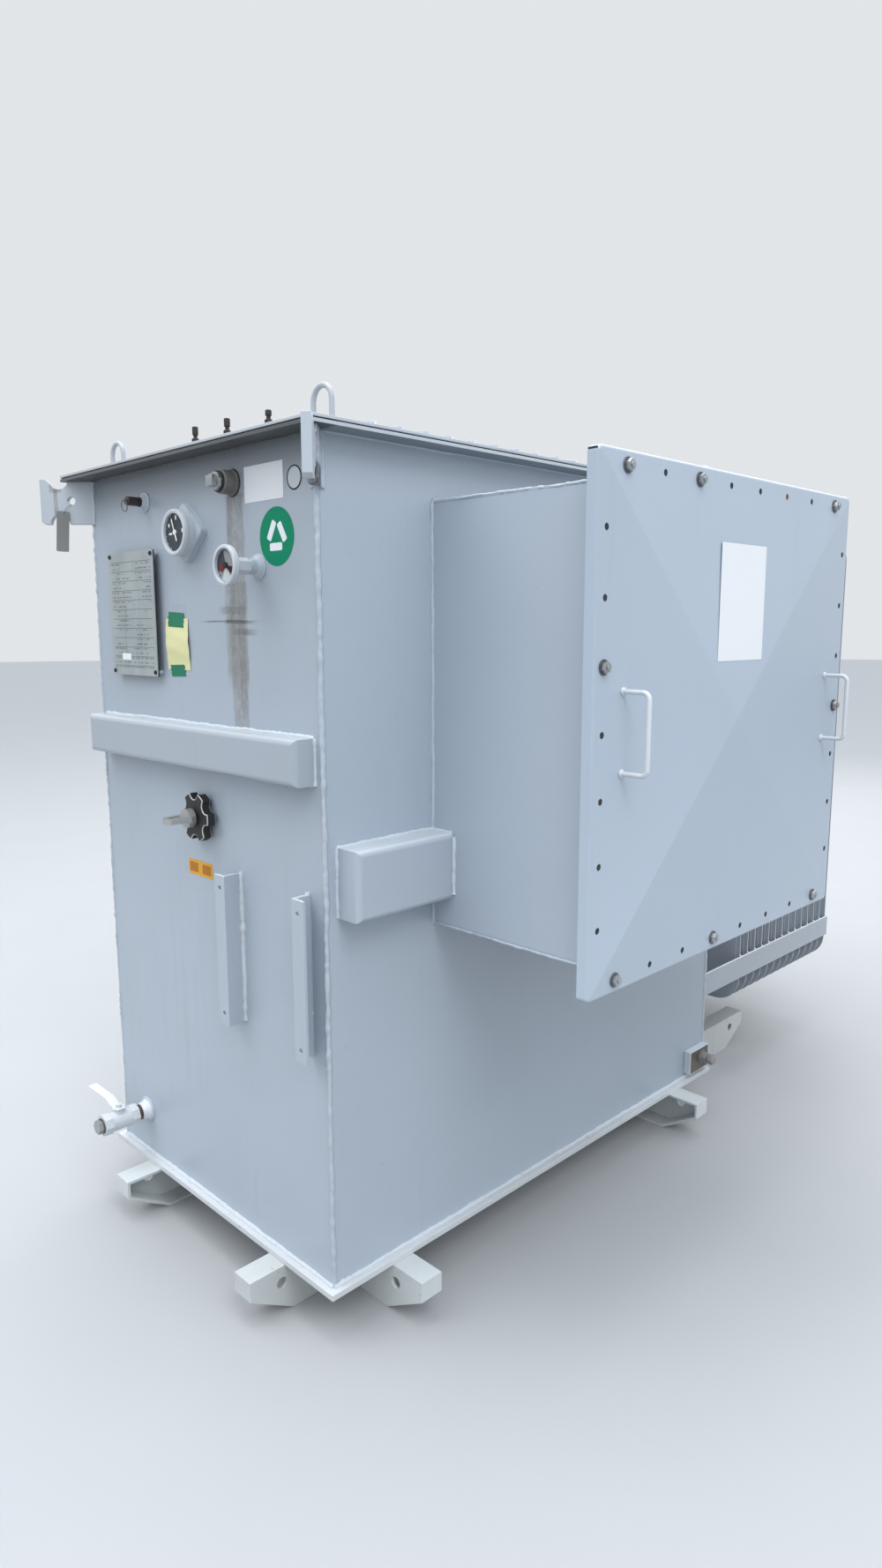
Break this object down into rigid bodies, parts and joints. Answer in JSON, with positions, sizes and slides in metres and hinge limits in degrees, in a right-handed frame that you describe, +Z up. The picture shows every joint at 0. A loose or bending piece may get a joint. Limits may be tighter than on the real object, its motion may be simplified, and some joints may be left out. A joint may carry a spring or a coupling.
{
  "type": "substation transformer",
  "caption": "Liquid-filled transformer: bolted-cover tank on folded skids, gauges, tap changer, drain valve, side throat with bolted pan cover, finned radiator bank",
  "frame": {"origin": "on the ground, under the middle of the whole outline", "axes": "+Z up; -Y towards the gauge wall, +Y towards the radiators; +X towards the throat"},
  "size_m": [1.288, 2.1064, 1.657],
  "materials": {
    "tank_paint": "pale grey enamel, satin",
    "skid_paint": "pale grey enamel, scuffed and dirty",
    "white_rod": "white enamel on bent rod",
    "gasket_rubber": "black sheet rubber and cork",
    "zinc_steel": "dull zinc plating",
    "dark_bushing": "dark moulded resin",
    "valve_bronze": "dull bronze casting",
    "gauge_case": "satin steel bezel with a dark dial",
    "index_disc": "dark casting with worn pale edges",
    "handle_alloy": "cast alloy, unpolished",
    "plate_metal": "etched plate with ruled lines only",
    "pad_bronze": "tarnished bronze face"
  },
  "bodies": {
    "unit": {"angle_rails": "tank_paint", "base_plate": "tank_paint", "bushing_studs": "zinc_steel", "cover_bushings": "dark_bushing", "cover_gasket": "gasket_rubber", "cover_loops": "tank_paint", "cross_channel_front": "skid_paint", "cross_channel_rear": "skid_paint", "drain_coupling": "tank_paint", "drain_plug": "valve_bronze", "drain_valve": "valve_bronze", "fill_coupling": "tank_paint", "fill_plug": "zinc_steel", "front_brace": "tank_paint", "front_wall": "tank_paint", "ground_pad": "pad_bronze", "left_brace": "tank_paint", "left_wall": "tank_paint", "level_gauge": "gauge_case", "level_gauge_flange": "tank_paint", "lifting_lugs": "tank_paint", "nameplate": "plate_metal", "nameplate_studs": "tank_paint", "radiator_fins": "tank_paint", "radiator_headers": "tank_paint", "radiator_straps": "tank_paint", "rear_brace": "tank_paint", "rear_wall": "tank_paint", "relief_valve": "valve_bronze", "right_wall": "tank_paint", "rim_flange_ends": "tank_paint", "rim_flange_sides": "tank_paint", "side_braces": "tank_paint", "skid_channel_left": "skid_paint", "skid_channel_right": "skid_paint", "tank_cover": "tank_paint", "tap_changer": "index_disc", "temperature_gauge": "gauge_case", "temperature_well": "tank_paint", "throat_cover": "tank_paint", "throat_flange_level_bars": "tank_paint", "throat_flange_upright_bars": "tank_paint", "throat_handles": "white_rod", "throat_roof_and_floor": "tank_paint", "throat_sides": "tank_paint"},
    "valve_lever": {"drain_lever": "zinc_steel"},
    "tap_lever": {"tap_handle": "handle_alloy"}
  },
  "joints": [
    {"name": "drain_lever_turn", "type": "hinge", "parent": "unit", "child": "valve_lever", "pos_m": [-0.445, -1.00125, 0.2323], "axis": [0, 0, 1], "range_deg": [0, 90]},
    {"name": "tap_handle_turn", "type": "hinge", "parent": "unit", "child": "tap_lever", "pos_m": [-0.154, -0.97225, 0.909], "axis": [0, -1, 0], "range_deg": [-120, 120]}
  ]
}
